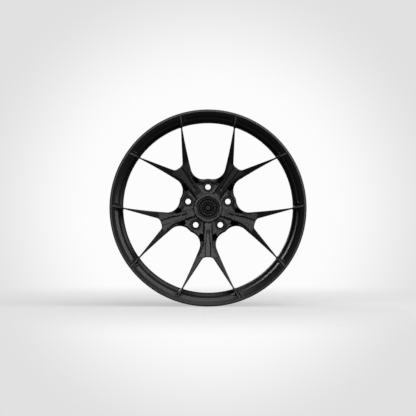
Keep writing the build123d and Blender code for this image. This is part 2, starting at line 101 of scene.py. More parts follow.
# Heights of the finishes' bumps, in metres
PEEL_BUMP = 0.00012
PAINT_BUMP = 0.00003
METAL_BUMP = 0.00002
RUBBER_BUMP = 0.00004

# Relief paint, whose black below a height line is painted shade in the recesses; the blur is half the
# width, in millimetres, over which black turns to grey
RELIEF_BLUR = 0.1
# Painted shade: the black laid into everything below the relief's height line
RELIEF_SHADE_BLACK = (0.0015, 0.0015, 0.0015)
RELIEF_GREY = (0.050, 0.049, 0.045)
RELIEF_SPECULAR = 0.05
RELIEF_MATT = 0.6
RELIEF_SATIN = 0.37


# ------------------------------------------------------------------ materials

def new_material(name):
    material = bpy.data.materials.new(name)
    material.use_nodes = True
    tree = material.node_tree
    tree.nodes.clear()
    shader = tree.nodes.new("ShaderNodeBsdfPrincipled")
    output = tree.nodes.new("ShaderNodeOutputMaterial")
    tree.links.new(shader.outputs["BSDF"], output.inputs["Surface"])
    return material, tree, shader


def noise(tree, scale, detail=3.0, roughness=0.5):
    """Fractal noise in the object's own coordinates; scale is in cells per metre."""
    place = tree.nodes.new("ShaderNodeTexCoord")
    texture = tree.nodes.new("ShaderNodeTexNoise")
    texture.inputs["Scale"].default_value = scale
    texture.inputs["Detail"].default_value = detail
    texture.inputs["Roughness"].default_value = roughness
    tree.links.new(place.outputs["Object"], texture.inputs["Vector"])
    return texture.outputs["Fac"]


def ramp(tree, value, low, high):
    """A number mapped from 0..1 to low..high."""
    node = tree.nodes.new("ShaderNodeMapRange")
    node.inputs["To Min"].default_value = low
    node.inputs["To Max"].default_value = high
    tree.links.new(value, node.inputs["Value"])
    return node.outputs["Result"]


def tint(tree, value, dark, light):
    node = tree.nodes.new("ShaderNodeMix")
    node.data_type = "RGBA"
    node.inputs["A"].default_value = (*dark, 1)
    node.inputs["B"].default_value = (*light, 1)
    tree.links.new(value, node.inputs["Factor"])
    return node.outputs["Result"]


def bump(tree, value, distance, strength, below=None):
    node = tree.nodes.new("ShaderNodeBump")
    node.inputs["Distance"].default_value = distance
    node.inputs["Strength"].default_value = strength
    tree.links.new(value, node.inputs["Height"])
    if below is not None:
        tree.links.new(below, node.inputs["Normal"])
    return node.outputs["Normal"]


def coated_metal(name, dark, light, roughness):
    """Satin powder coat: orange-peel, fine grain, and faint patches in colour and gloss."""
    material, tree, shader = new_material(name)
    patches = noise(tree, PAINT_PATCHES)
    tree.links.new(tint(tree, patches, dark, light), shader.inputs["Base Color"])
    gloss = ramp(tree, noise(tree, PAINT_GRAIN, 2.0), roughness - 0.05, roughness + 0.07)
    tree.links.new(gloss, shader.inputs["Roughness"])
    waves = bump(tree, noise(tree, PAINT_PEEL, 1.0), PEEL_BUMP, 0.35)
    grain = bump(tree, noise(tree, PAINT_GRAIN, 2.0), PAINT_BUMP, 0.5, waves)
    tree.links.new(grain, shader.inputs["Normal"])
    shader.inputs["Specular IOR Level"].default_value = 0.5
    return material


def bare_metal(name, dark, light, roughness):
    """Machined or plated metal with a fine grain."""
    material, tree, shader = new_material(name)
    shader.inputs["Metallic"].default_value = 1.0
    tree.links.new(tint(tree, noise(tree, METAL_GRAIN / 6), dark, light), shader.inputs["Base Color"])
    gloss = ramp(tree, noise(tree, METAL_GRAIN, 2.0), roughness - 0.06, roughness + 0.08)
    tree.links.new(gloss, shader.inputs["Roughness"])
    tree.links.new(bump(tree, noise(tree, METAL_GRAIN, 2.0), METAL_BUMP, 0.5), shader.inputs["Normal"])
    return material


def relief_with_painted_shade(name, line):
    """Satin grey on raised faces and matt black below a line, in mm along the wheel's axis; the black is
    painted shade in the recesses, and on the cap it also stands for the emblem's dark infill.
    """
    material, tree, shader = new_material(name)
    place = tree.nodes.new("ShaderNodeTexCoord")
    split = tree.nodes.new("ShaderNodeSeparateXYZ")
    step = tree.nodes.new("ShaderNodeMapRange")
    step.inputs["From Min"].default_value = -(line - RELIEF_BLUR) / MM_PER_METRE
    step.inputs["From Max"].default_value = -(line + RELIEF_BLUR) / MM_PER_METRE
    tree.links.new(place.outputs["Object"], split.inputs["Vector"])
    tree.links.new(split.outputs["Y"], step.inputs["Value"])
    raised = step.outputs["Result"]
    # Black below the line is painted shade in the recesses; grey on the raised faces
    tree.links.new(tint(tree, raised, RELIEF_SHADE_BLACK, RELIEF_GREY), shader.inputs["Base Color"])
    shader.inputs["Specular IOR Level"].default_value = RELIEF_SPECULAR
    tree.links.new(ramp(tree, raised, RELIEF_MATT, RELIEF_SATIN), shader.inputs["Roughness"])
    tree.links.new(bump(tree, noise(tree, PAINT_GRAIN, 2.0), PAINT_BUMP, 0.5), shader.inputs["Normal"])
    return material


def rubber(name):
    material, tree, shader = new_material(name)
    shades = tint(tree, noise(tree, RUBBER_PATCHES), (0.010, 0.010, 0.010), (0.018, 0.018, 0.018))
    tree.links.new(shades, shader.inputs["Base Color"])
    tree.links.new(ramp(tree, noise(tree, RUBBER_SHEEN, 2.0), 0.7, 0.85), shader.inputs["Roughness"])
    tree.links.new(bump(tree, noise(tree, RUBBER_GRAIN, 2.0), RUBBER_BUMP, 0.6), shader.inputs["Normal"])
    return material


SATIN_BLACK = coated_metal("satin_black_coat", (0.0050, 0.0051, 0.0053), (0.0070, 0.0071, 0.0074), 0.33)
FINISHES = {
    "satin_black_coat": SATIN_BLACK,
    "ring_aluminium": bare_metal("ring_aluminium", (0.40, 0.41, 0.42), (0.52, 0.53, 0.54), 0.32),
    # Below these lines the cap's recesses are painted black as shade, which also stands for the emblem's
    # dark infill
    "cap_coat": relief_with_painted_shade("cap_coat", 70.6),
    "cap_inlay_finish": relief_with_painted_shade("cap_inlay_finish", 70.3),
    "seal_rubber": rubber("seal_rubber"),
    "valve_black": bare_metal("valve_black", (0.025, 0.026, 0.028), (0.04, 0.041, 0.043), 0.35),
    "valve_cap_finish": bare_metal("valve_cap_finish", (0.006, 0.006, 0.007), (0.010, 0.010, 0.011), 0.4),
    "core_brass": bare_metal("core_brass", (0.56, 0.40, 0.17), (0.68, 0.50, 0.23), 0.28),
    "spring_steel": bare_metal("spring_steel", (0.50, 0.50, 0.51), (0.60, 0.60, 0.61), 0.25),
    # Below this line the lug seat's cone and bore are painted black as shade
    "seat_steel": relief_with_painted_shade("seat_steel", 65.2),
}


def dress_cad_nodes():
    slots = {part["node"]: part["material_slot"] for part in frame["record"]["subparts"]}
    for name, piece in nodes.items():
        piece.data.materials.clear()
        piece.data.materials.append(FINISHES[slots[name]])


# ------------------------------------------------------- forged centre's mesh
# Worked out in millimetres in the drawing frame, where the wheel's axis is +Z, its front
# is up and one spoke lies along +X. Heights are functions of the plan, so the front and
# the back are each one sheet, and the walls join them.

SPOKES = 5
SECTOR = 2 * math.pi / SPOKES
CLOCKING = math.radians(-18.0)

BORE_R = 27.4
MOUTH_R = 29.1
COLLAR_R = 38.2
COLLAR_Z = 73.0
MOUTH_Z = 67.4
RING_SEAT_R = 36.3
RING_SEAT_Z = 46.0
PAD_Z = 35.0
WEB_Z = 65.0
LUG_CIRCLE_R = 56.0
LUG_HOLE_R = 7.4
SEAT_BODY_R = 12.4
SEAT_BODY_Z = 48.0
SEAT_FLANGE_R = 13.75
SEAT_FLANGE_Z = 63.4
SPOT_FACE_R = 15.3
BOSS_R = 22.4
RAMP_START = 61.5
RAMP_SLOPE = 0.2
WAIST = (97.3, 21.1)
FORK_X = 131.6
FORK_Y = 7.2
ARM_TIP = (213.7, 68.5)
ARM_TURN = math.radians(29.6)
ARM_TIP_HALF = 1.6
ARM_OUTER_MID = (155.0, 42.6)
ARM_LEAVE_TURN = math.radians(22.3)
ARM_INNER_TURN = math.radians(33.6)
CREASE_R = 133.7
WELL_R = 227.6
FOOT_FILLET_R = 5.0
WALL_SLOPE = 8.0
LIP_PLANE = 127.0
PANEL_START_R = 255.5
PANEL_SLOPE = 0.4066
LEDGE_END_R = 238.7
PAD_SMALL = -9.1
PAD_BIG = 12.1
STRIP_SMALL = -17.0
STRIP_BIG = 20.0
STRIP_END_R = 258.0
STRIP_ALONG = 16
FLANK_HALF = 5.6
FLANK_DEPTH = 3.0
FLANK_END_R = 252
FLANK_GONE_R = 256

# Turned faces of the centre: start height, and bends as radius, change of slope, half-width
FRONT_START_Z = 71.6
FRONT_BENDS = [(44.2, 0.144, 2.2), (CREASE_R, 0.265, 2.0), (232, -0.33, 5.0)]
BACK_BENDS = [
    (74, 0.2513, 1.5),
    (CREASE_R, 0.1695, 3.0),
    (205, -0.66, 9.8),
    (216, -1.2, 4.0),
    (WELL_R, 1.44, 1.5),
]

# Where the barrel's front contour is read from its mesh; only the ray's start is in metres
SECTION_TURN = math.radians(112)
SECTION_STEP = 0.1
SECTION_INSET = 0.15
SECTION_FROM_LIP = 1.5
SECTION_RAY_Y = -0.3

# Floor round a lug hole
RAMP_ROUND = 0.8
SPOT_SLOPE = 4
SPOT_ROUND = 0.25

# Half width of a spoke's raised spine, by place along the spoke
SPINE_PLACES = [0, 76, WAIST[0], CREASE_R]
SPINE_HALVES = [10.4, 11.0, 12.3, 27.0]
SPINE_ROUND = 4.0
SPINE_EDGE = 0.6

# Shoulder between spine and window, and the scallop beside the lug boss
SHOULDER_R = WAIST[0] - 7.5
SHOULDER_END_R = CREASE_R - 2
SHOULDER_DROPS = [4.5, 0.4]
SCALLOP_X = 78.0
SCALLOP_Y = 17.2
SCALLOP_NARROWING = 0.72
SCALLOP_SLOPE = 2.6
SCALLOP_ROUND = 4.0
SCALLOP_Z = 43
SCALLOP_EDGE = 1.5
SHOULDER_BLEND = 3.0

# Collar round the bore, and its mouth
COLLAR_REACH = 48
COLLAR_EDGE = 0.8
COLLAR_BLEND = 2.0
MOUTH_SLOPE = 12
MOUTH_EDGE = 0.4

# Groove along a spine: half widths and depths by place along the spoke
GROOVE_WIDTH_PLACES = [57.0, 59.0, 63.0, 82.0, 98.0, 112.0]
GROOVE_HALVES = [0.0, 2.4, 3.3, 4.3, 5.8, 6.3]
GROOVE_DEPTH_PLACES = [57, 66, 90, CREASE_R]
GROOVE_DEPTHS = [1.2, 2.2, 3.2, 4.6]
GROOVE_SLOPE = 3.0
GROOVE_START = 58.5
GROOVE_FIRST = 50
GROOVE_ROUND = 0.8
GROOVE_EDGE = 0.5

# Rib at an arm's end, and the pads beside it
ENDS_FROM_R = 219
CREST_GROWTH = 0.45
CREST_SLOPE = 2.2
CREST_ROUND = 0.15
RIB_FLANK = 2.8
RIB_SLOPE = 28
PAD_SIDE_SLOPE = 2.2
PAD_END_SLOPE = 14
PAD_BLEND = 0.8
RIB_BLEND = 0.6
RIB_BELOW_LIP = 0.05
TRENCH_EDGE = 0.5
BARREL_SINK = 0.15
RIM_FROM_R = WELL_R - 6

# Pockets in the back: corners, and floor heights
SPOKE_POCKET = [(84, -8), (122, -13), (122, 13), (84, 8)]
SPOKE_POCKET_RADII = [82, 128]
SPOKE_POCKET_FLOORS = [57, 69]
PAD_POCKET = [(50, -11), (66, -14), (66, 14), (50, 11)]
PAD_POCKET_FLOOR = 44.0
POCKET_REACH = 3
POCKET_ROUND = 3.0
POCKET_EDGE = 0.8
HULL_ROUND = 3.0

# The back inside the barrel's wall: where it starts, and how it stays under the front contour
BURIED = 1.0
BARREL_COVER = 2.2
COVER_DEPTH = 1.5
COVER_SLOPE = 8

# Small gap: points on a step's edge take the lower height, and ribs stay under the lip's plane
EDGE = 0.02

# Bevels along the windows: widths by place along the spoke
BIG_BEVEL_PLACES = [78, 90, 110, 180, 213]
BIG_BEVELS = [3.8, 1.8, 2.2, 2.0, 0.45]
SMALL_BEVEL_PLACES = [131, 150, 213]
SMALL_BEVELS = [0.9, 0.9, 0.4]
BACK_BEVEL = 1.2
BEVEL_ROUND = 0.25

# Search for a foot fillet's place along the arm
FOOT_SEARCH = 30.0
FOOT_HALVINGS = 60

# Corner between a fork's notch and an arm: offsets in the drawing frame
FORK_DEPTH = 3.6
FORK_NEAR = 3.0
FORK_BEND = (0.75, 1.1)
FORK_SHOULDER = (0.9, 1.9)
FORK_MIDDLE = (0.22, 0.1)
FORK_STEP = 1.6

# Spacing of the outline's points
AXIS_STEP = 1.0
RING_STEP = 1.2
CROSS_STEP = 0.8
STRIP_STEP = 1.5
WAIST_STEP = 1.3
ARM_STEP = 2.2
FORK_INNER_STEP = 0.7

# Mesh density: grid spacing with the least bend that asks for it, and rows beside the windows
GRID_LEVELS = [(4.0, 0.0), (2.0, 0.02), (1.0, 0.1)]
FINEST_BEND = 0.35
FRONT_FINEST = 0.55
BACK_FINEST = 0.8
BIG_ROWS = [0.5, 1.1, 1.8, 2.5, 3.4]
SMALL_ROWS = [0.5, 1.1]
OUTLINE_GAP = 0.3
POINT_GAP = 0.33
WELD = 0.01


def soft_min(a, b, size):
    blend = np.maximum(size - np.abs(a - b), 0) / size
    return np.minimum(a, b) - blend * blend * size / 4


def soft_max(a, b, size):
    return -soft_min(-a, -b, size)


def soft_ramp(t, half):
    """0 below, t above, and a smooth bend of that half-width between."""
    return np.where(t < -half, 0, np.where(t > half, t, (t + half) ** 2 / (4 * half)))


def smooth_step(t, low, high):
    t = np.clip((t - low) / (high - low), 0, 1)
    return t * t * (3 - 2 * t)


def bent_profile(radius, start, bends):
    """Height of a turned profile: its start, then (radius, change of slope, half-width) bends."""
    return start + sum(change * soft_ramp(radius - place, half) for place, change, half in bends)


def disc_front(radius):
    return bent_profile(radius, FRONT_START_Z, FRONT_BENDS)


def disc_back(radius):
    return bent_profile(radius, PAD_Z, BACK_BENDS)


def barrel_profile():
    """Radii and front heights of the barrel's visible rings, read from its CAD mesh."""
    mesh = nodes["rim_barrel"].data
    tree = BVHTree.FromPolygons([v.co for v in mesh.vertices], [p.vertices for p in mesh.polygons])
    cos, sin = math.cos(SECTION_TURN), math.sin(SECTION_TURN)
    radii = np.arange(WELL_R + SECTION_INSET, LIP_R / MM - SECTION_FROM_LIP, SECTION_STEP)
    heights = []
    for radius in radii:
        start = Vector((radius * cos * MM, SECTION_RAY_Y, radius * sin * MM))
        hit = tree.ray_cast(start, Vector((0, 1, 0)))[0]
        heights.append(-hit.y / MM)
    return radii, np.array(heights)


BARREL_RADII, BARREL_HEIGHTS = barrel_profile()


def barrel_front(radius):
    inner = BARREL_HEIGHTS[0] - (BARREL_RADII[0] - radius)
    return np.where(radius < BARREL_RADII[0], inner, np.interp(radius, BARREL_RADII, BARREL_HEIGHTS))


def along_arm(x, y):
    """Distances along an arm's line from its tip, and across it towards the big window."""
    dx, dy = x - ARM_TIP[0], y - ARM_TIP[1]
    cos, sin = math.cos(ARM_TURN), math.sin(ARM_TURN)
    return dx * cos + dy * sin, dy * cos - dx * sin


def arm_point(along, across):
    cos, sin = math.cos(ARM_TURN), math.sin(ARM_TURN)
    return ARM_TIP[0] + along * cos - across * sin, ARM_TIP[1] + along * sin + across * cos


def lug_distance(x, y):
    half = SECTOR / 2
    return np.hypot(x - LUG_CIRCLE_R * math.cos(half), y - LUG_CIRCLE_R * math.sin(half))


def toward_lug(x, y):
    return x * math.cos(SECTOR / 2) + y * math.sin(SECTOR / 2)


def web_floor(x, y):
    """The milled floor round a lug hole: flat beside the collar, rising to the window."""
    slope = WEB_Z + RAMP_SLOPE * soft_ramp(toward_lug(x, y) - RAMP_START, RAMP_ROUND)
    spot = WEB_Z + SPOT_SLOPE * np.maximum(lug_distance(x, y) - SPOT_FACE_R, 0)
    return soft_min(slope, spot, SPOT_ROUND)


def spine_half_width(x):
    return np.interp(x, SPINE_PLACES, SPINE_HALVES)


def low_height(x, y, radius, disc):
    """Height between the spines: web, shoulders and scallops."""
    drop = np.interp(radius, [SHOULDER_R, SHOULDER_END_R], SHOULDER_DROPS)
    shoulder = disc - drop - WALL_SLOPE * np.maximum(SHOULDER_R - radius, 0)
    low = soft_max(web_floor(x, y), shoulder, SHOULDER_BLEND)
    apart = np.hypot(x - SCALLOP_X, (y - SCALLOP_Y) / SCALLOP_NARROWING)
    scallop = SCALLOP_Z + np.hypot(SCALLOP_SLOPE * apart, SCALLOP_ROUND)
    return soft_min(low, scallop, SCALLOP_EDGE)


def with_spine(height, x, y, radius, disc):
    """The height with a spoke's spine raised out of it."""
    wall = disc - WALL_SLOPE * np.maximum(y - spine_half_width(x), 0)
    wall = np.where(radius > SHOULDER_END_R, disc, wall)
    height = soft_min(disc, soft_max(height, wall, SPINE_ROUND), SPINE_EDGE)
    return np.where(radius > SHOULDER_END_R, disc, height)


def with_collar(height, radius):
    """The height with the collar round the bore and the mouth inside it."""
    side = COLLAR_Z - WALL_SLOPE * np.maximum(radius - COLLAR_R, 0)
    collar = soft_min(side, np.full_like(radius, COLLAR_Z), COLLAR_EDGE)
    raised = soft_max(height, collar, COLLAR_BLEND)
    height = np.where(radius > COLLAR_REACH, height, raised)
    mouth = MOUTH_Z + MOUTH_SLOPE * np.maximum(radius - MOUTH_R, 0)
    height = soft_min(height, mouth, MOUTH_EDGE)
    return np.where(radius < MOUTH_R, MOUTH_Z, height)


def with_groove(height, x, y, disc):
    """The height with the groove along a spine cut into it."""
    half = np.interp(x, GROOVE_WIDTH_PLACES, GROOVE_HALVES)
    floor_z = disc - np.interp(x, GROOVE_DEPTH_PLACES, GROOVE_DEPTHS)
    side = GROOVE_SLOPE * np.maximum(y - half, 0)
    end = GROOVE_SLOPE * np.maximum(GROOVE_START - x, 0)
    groove = floor_z + side + end
    cut = soft_min(height, soft_max(groove, floor_z, GROOVE_ROUND), GROOVE_EDGE)
    return np.where(x > GROOVE_FIRST, cut, height)


def with_lug_seat(height, x, y):
    """The height with the stepped hole for a lug seat."""
    lug = lug_distance(x, y)
    height = np.where(lug < SEAT_FLANGE_R + EDGE, SEAT_FLANGE_Z, height)
    return np.where(lug < SEAT_BODY_R + EDGE, SEAT_BODY_Z, height)


def front_height(x, y):
    """Height of the front over the plan, without the bevels along the windows."""
    radius = np.hypot(x, y)
    disc = disc_front(radius)
    height = low_height(x, y, radius, disc)
    height = with_spine(height, x, y, radius, disc)
    height = with_collar(height, radius)
    height = with_groove(height, x, y, disc)
    height = with_lug_seat(height, x, y)
    return np.where(radius > ENDS_FROM_R, end_height(x, y), height)


def rib_height(radius, along, across):
    """Height of an arm's rib over the barrel, falling away on both sides of its crest."""
    disc = np.minimum(disc_front(radius), LIP_PLANE - RIB_BELOW_LIP)
    crest_half = ARM_TIP_HALF + CREST_GROWTH * smooth_step(along, 0, 8)
    flank = RIB_FLANK * smooth_step(along, 2, 12)
    off = np.maximum(np.abs(across) - crest_half, 0)
    crest = disc - CREST_SLOPE * soft_ramp(off - CREST_ROUND, CREST_ROUND)
    return crest - RIB_SLOPE * np.maximum(off - flank, 0)


def pad_height(radius, along, across):
    """Height of the pads beside an arm's rib, with a trench on each side of the rib."""
    panel = LIP_PLANE - PANEL_SLOPE * (PANEL_START_R - radius)
    beside = np.maximum(np.maximum(PAD_SMALL - across, across - PAD_BIG), 0)
    pad = np.minimum(panel, LIP_PLANE) - PAD_SIDE_SLOPE * beside
    pad = pad - PAD_END_SLOPE * np.maximum(LEDGE_END_R - radius, 0)
    trench = FLANK_DEPTH * soft_ramp(FLANK_HALF - np.abs(across), TRENCH_EDGE) * smooth_step(along, 8, 14)
    return pad - trench * (1 - smooth_step(radius, FLANK_END_R, FLANK_GONE_R))


def end_height(x, y):
    """Height round an arm's end: its rib, the pads beside it, and the barrel that they rise from."""
    radius = np.hypot(x, y)
    along, across = along_arm(x, y)
    rib = rib_height(radius, along, across)
    pad = pad_height(radius, along, across)
    base = barrel_front(radius) - BARREL_SINK
    rim = soft_max(base, pad, PAD_BLEND)
    rim = np.where(radius > RIM_FROM_R, soft_max(rim, rib, RIB_BLEND), rib)
    return np.minimum(rim, LIP_PLANE - EDGE)


def hull_distance(x, y, corners):
    """Distance outside a convex outline, below zero inside it; corners run counter-clockwise."""
    distance = np.full_like(x, -1e9)
    for (ax, ay), (bx, by) in zip(corners, corners[1:] + corners[:1]):
        length = math.hypot(bx - ax, by - ay)
        from_side = ((x - ax) * (by - ay) - (y - ay) * (bx - ax)) / length
        distance = soft_max(distance, from_side, HULL_ROUND)
    return distance


def pocket(surface, floor, distance):
    wall = floor - WALL_SLOPE * np.maximum(distance + (floor - surface) / WALL_SLOPE, 0)
    return soft_max(surface, soft_min(wall, floor, POCKET_ROUND), POCKET_EDGE)


def barrel_cover(radius):
    """Height that keeps the back inside the barrel's wall, under the barrel's front contour."""
    inner_r = BARREL_RADII[0]
    cover = barrel_front(radius - BARREL_COVER) - COVER_DEPTH
    steep = BARREL_HEIGHTS[0] - COVER_SLOPE * (inner_r - radius + BARREL_COVER) - COVER_DEPTH
    return np.where(radius - BARREL_COVER < inner_r, steep, cover)


def back_height(x, y):
    """Height of the back over the plan, without the bevels along the windows."""
    radius = np.hypot(x, y)
    height = disc_back(radius)
    spoke = hull_distance(x, y, SPOKE_POCKET)
    spoke_floor = np.interp(radius, SPOKE_POCKET_RADII, SPOKE_POCKET_FLOORS)
    height = np.where(spoke < POCKET_REACH, pocket(height, spoke_floor, spoke), height)
    pad = hull_distance(x, y, PAD_POCKET)
    pad_floor = np.full_like(x, PAD_POCKET_FLOOR)
    height = np.where(pad < POCKET_REACH, pocket(height, pad_floor, pad), height)
    height = np.where(radius < RING_SEAT_R + EDGE, RING_SEAT_Z, height)
    in_wall = radius > WELL_R + BURIED
    return np.where(in_wall, np.maximum(height, barrel_cover(radius)), height)


def arc(centre, radius, start, end, spacing):
    count = max(int(abs(end - start) * radius / spacing), 3)
    turns = np.linspace(start, end, count + 1)
    return [(centre[0] + radius * math.cos(t), centre[1] + radius * math.sin(t)) for t in turns]


def run(start, end, spacing):
    count = max(int(math.dist(start, end) / spacing), 1)
    return [
        (start[0] + (end[0] - start[0]) * i / count, start[1] + (end[1] - start[1]) * i / count)
        for i in range(count + 1)
    ]


def arc_through(start, middle, end, spacing):
    ax, ay = middle[0] - start[0], middle[1] - start[1]
    bx, by = end[0] - start[0], end[1] - start[1]
    cross = 2 * (ax * by - ay * bx)
    ux = (by * (ax * ax + ay * ay) - ay * (bx * bx + by * by)) / cross
    uy = (ax * (bx * bx + by * by) - bx * (ax * ax + ay * ay)) / cross
    centre = (start[0] + ux, start[1] + uy)
    radius = math.hypot(ux, uy)
    first = math.atan2(start[1] - centre[1], start[0] - centre[0])
    last = math.atan2(end[1] - centre[1], end[0] - centre[0])
    turn = (last - first + math.pi) % (2 * math.pi) - math.pi
    return arc(centre, radius, first, first + turn, spacing)


def foot_fillet(side):
    """The round corner between an arm's side and the barrel; it starts on the arm's side."""
    reach = WELL_R - FOOT_FILLET_R
    offset = side * (ARM_TIP_HALF + FOOT_FILLET_R)
    low, high = -FOOT_SEARCH, FOOT_SEARCH
    for _ in range(FOOT_HALVINGS):
        middle = (low + high) / 2
        if math.hypot(*arm_point(middle, offset)) < reach:
            low = middle
        else:
            high = middle
    centre = arm_point(low, offset)
    on_arm = arm_point(low, side * ARM_TIP_HALF)
    outward = math.atan2(centre[1], centre[0])
    first = math.atan2(on_arm[1] - centre[1], on_arm[0] - centre[0])
    turn = (outward - first + math.pi) % (2 * math.pi) - math.pi
    return arc(centre, FOOT_FILLET_R, first, first + turn, CROSS_STEP)


def big_window_side():
    """Half of the big window's outline, from the lug hole's azimuth to the barrel."""
    half = SECTOR / 2
    lug = np.array([LUG_CIRCLE_R * math.cos(half), LUG_CIRCLE_R * math.sin(half)])
    gap = np.array(WAIST) - lug
    radius = (gap @ gap - BOSS_R**2) / (2 * (BOSS_R - gap[1]))
    centre = np.array([WAIST[0], WAIST[1] + radius])
    toward = math.atan2(*(centre - lug)[::-1])
    boss = arc(lug, BOSS_R, half, toward, RING_STEP)
    waist = arc(centre, radius, toward + math.pi, 1.5 * math.pi + ARM_LEAVE_TURN, WAIST_STEP)
    foot = foot_fillet(1)
    arm = arc_through(waist[-1], ARM_OUTER_MID, arm_point(0, ARM_TIP_HALF), ARM_STEP)
    straight = run(arm[-1], foot[0], RING_STEP)
    return boss[:-1] + waist[:-1] + arm[:-1] + straight[:-1] + foot


def small_window_side():
    """Half of the small window's outline, from the barrel to the spoke's axis."""
    tip = arm_point(0, -ARM_TIP_HALF)
    slope = math.tan(ARM_INNER_TURN)
    rise = tip[1] - FORK_Y - (tip[0] - FORK_X) * slope
    corner = (FORK_X + FORK_DEPTH, FORK_Y + rise + FORK_DEPTH * slope)
    foot = foot_fillet(-1)[::-1]
    straight = run(foot[-1], tip, RING_STEP)
    near = (corner[0] + FORK_NEAR, corner[1] + FORK_NEAR * slope)
    arm = run(tip, near, ARM_STEP)
    fork_low = (FORK_X, FORK_Y - FORK_STEP)
    middle = (corner[0] - FORK_BEND[0], corner[1] - FORK_BEND[1])
    shoulder = (FORK_X + FORK_SHOULDER[0], FORK_Y + FORK_SHOULDER[1])
    bend = arc_through(near, middle, shoulder, CROSS_STEP)
    turn_in = (FORK_X + FORK_MIDDLE[0], FORK_Y + FORK_MIDDLE[1])
    inner = arc_through(bend[-1], turn_in, fork_low, FORK_INNER_STEP)
    axis = run(fork_low, (FORK_X, 0), AXIS_STEP)
    return foot[:-1] + straight[:-1] + arm[:-1] + bend[:-1] + inner[:-1] + axis


def polar(radius, turn):
    return radius * math.cos(turn), radius * math.sin(turn)


def half_outline():
    """Half a spoke's plan as a loop of points, counter-clockwise, and its two window sides."""
    half = SECTOR / 2
    big = big_window_side()
    small = small_window_side()
    on_barrel_big = math.atan2(big[-1][1], big[-1][0])
    on_barrel_small = math.atan2(small[0][1], small[0][0])
    strip_big = math.atan2(*arm_point(STRIP_ALONG, STRIP_BIG)[::-1])
    strip_small = math.atan2(*arm_point(STRIP_ALONG, STRIP_SMALL)[::-1])
    loop = []
    loop += run((BORE_R, 0), (FORK_X, 0), AXIS_STEP)[:-1]
    loop += small[::-1][:-1]
    loop += arc((0, 0), WELL_R, on_barrel_small, strip_small, RING_STEP)[:-1]
    loop += run(polar(WELL_R, strip_small), polar(STRIP_END_R, strip_small), CROSS_STEP)[:-1]
    loop += arc((0, 0), STRIP_END_R, strip_small, strip_big, STRIP_STEP)[:-1]
    loop += run(polar(STRIP_END_R, strip_big), polar(WELL_R, strip_big), CROSS_STEP)[:-1]
    loop += arc((0, 0), WELL_R, strip_big, on_barrel_big, RING_STEP)[:-1]
    loop += big[::-1][:-1]
    hole_out, hole_in = LUG_CIRCLE_R + LUG_HOLE_R, LUG_CIRCLE_R - LUG_HOLE_R
    loop += run(polar(LUG_CIRCLE_R + BOSS_R, half), polar(hole_out, half), AXIS_STEP)[:-1]
    loop += arc(polar(LUG_CIRCLE_R, half), LUG_HOLE_R, half, half - math.pi, RING_STEP)[:-1]
    loop += run(polar(hole_in, half), polar(BORE_R, half), AXIS_STEP)[:-1]
    loop += arc((0, 0), BORE_R, half, 0, RING_STEP)[:-1]
    return np.array(loop), np.array(big), np.array(small)


def outline_distance(points, outline):
    a, b = outline[:-1], outline[1:]
    edge = b - a
    best = np.full(len(points), 1e9)
    for start in range(0, len(points), 4000):
        part = points[start : start + 4000, None, :]
        t = np.clip(((part - a) * edge).sum(2) / (edge * edge).sum(1), 0, 1)
        gap = part - a - t[:, :, None] * edge
        best[start : start + 4000] = np.sqrt((gap * gap).sum(2)).min(1)
    return best


def inside_loop(points, loop):
    inside = np.zeros(len(points), bool)
    x, y = points[:, 0], points[:, 1]
    for (ax, ay), (bx, by) in zip(loop, np.roll(loop, -1, 0)):
        if ay == by:
            continue
        crosses = (ay > y) != (by > y)
        inside ^= crosses & (x < (bx - ax) * (y - ay) / (by - ay) + ax)
    return inside


def hex_grid(spacing, low, high):
    rows = np.arange(low[1], high[1], spacing * 0.866)
    grid = []
    for i, y in enumerate(rows):
        xs = np.arange(low[0] + (i % 2) * spacing / 2, high[0], spacing)
        grid.append(np.column_stack([xs, np.full(len(xs), y)]))
    return np.vstack(grid)


def bend_of(surface, points, step=0.35):
    """How strongly a surface bends near each point, in slope per millimetre."""
    x, y = points.T
    middle = surface(x, y)
    bend_x = surface(x + step, y) + surface(x - step, y) - 2 * middle
    bend_y = surface(x, y + step) + surface(x, y - step) - 2 * middle
    bend_d = surface(x + step * 0.7, y + step * 0.7) + surface(x - step * 0.7, y - step * 0.7) - 2 * middle
    return np.maximum(np.maximum(np.abs(bend_x), np.abs(bend_y)), np.abs(bend_d)) / step**2


def inner_points(surface, loop, rows, finest):
    """Points inside the loop, close together only where the surface bends."""
    low, high = loop.min(0), loop.max(0)
    kept = [rows]
    for spacing, limit in [*GRID_LEVELS, (finest, FINEST_BEND)]:
        grid = hex_grid(spacing, low, high)
        grid = grid[inside_loop(grid, loop)]
        if limit:
            grid = grid[bend_of(surface, grid, spacing * 0.6) > limit]
        kept.append(grid)
    found = np.vstack(kept)
    found = found[outline_distance(found, np.vstack([loop, loop[:1]])) > OUTLINE_GAP]
    tree = KDTree(len(found))
    for i, (x, y) in enumerate(found):
        tree.insert((x, y, 0), i)
    tree.balance()
    alive = np.ones(len(found), bool)
    for i, (x, y) in enumerate(found):
        if alive[i]:
            for _, other, _ in tree.find_range((x, y, 0), POINT_GAP):
                if other > i:
                    alive[other] = False
    return found[alive]


def offset_rows(outline, distances):
    """Rows of points beside an outline, on its left."""
    step = np.gradient(outline, axis=0)
    step /= np.linalg.norm(step, axis=1)[:, None]
    left = np.column_stack([-step[:, 1], step[:, 0]])
    return np.vstack([outline + left * d for d in distances])


def bevel_width(x, outline_is_big):
    if outline_is_big:
        return np.interp(x, BIG_BEVEL_PLACES, BIG_BEVELS)
    return np.interp(x, SMALL_BEVEL_PLACES, SMALL_BEVELS)


def beveled_front(points, big, small):
    x, y = points.T
    height = front_height(x, y)
    fade = 1 - smooth_step(np.hypot(x, y), 219, 225)
    for outline, is_big in ((big, True), (small, False)):
        near = outline_distance(points, outline)
        height = height - soft_ramp(bevel_width(x, is_big) * fade - near, BEVEL_ROUND)
    return height


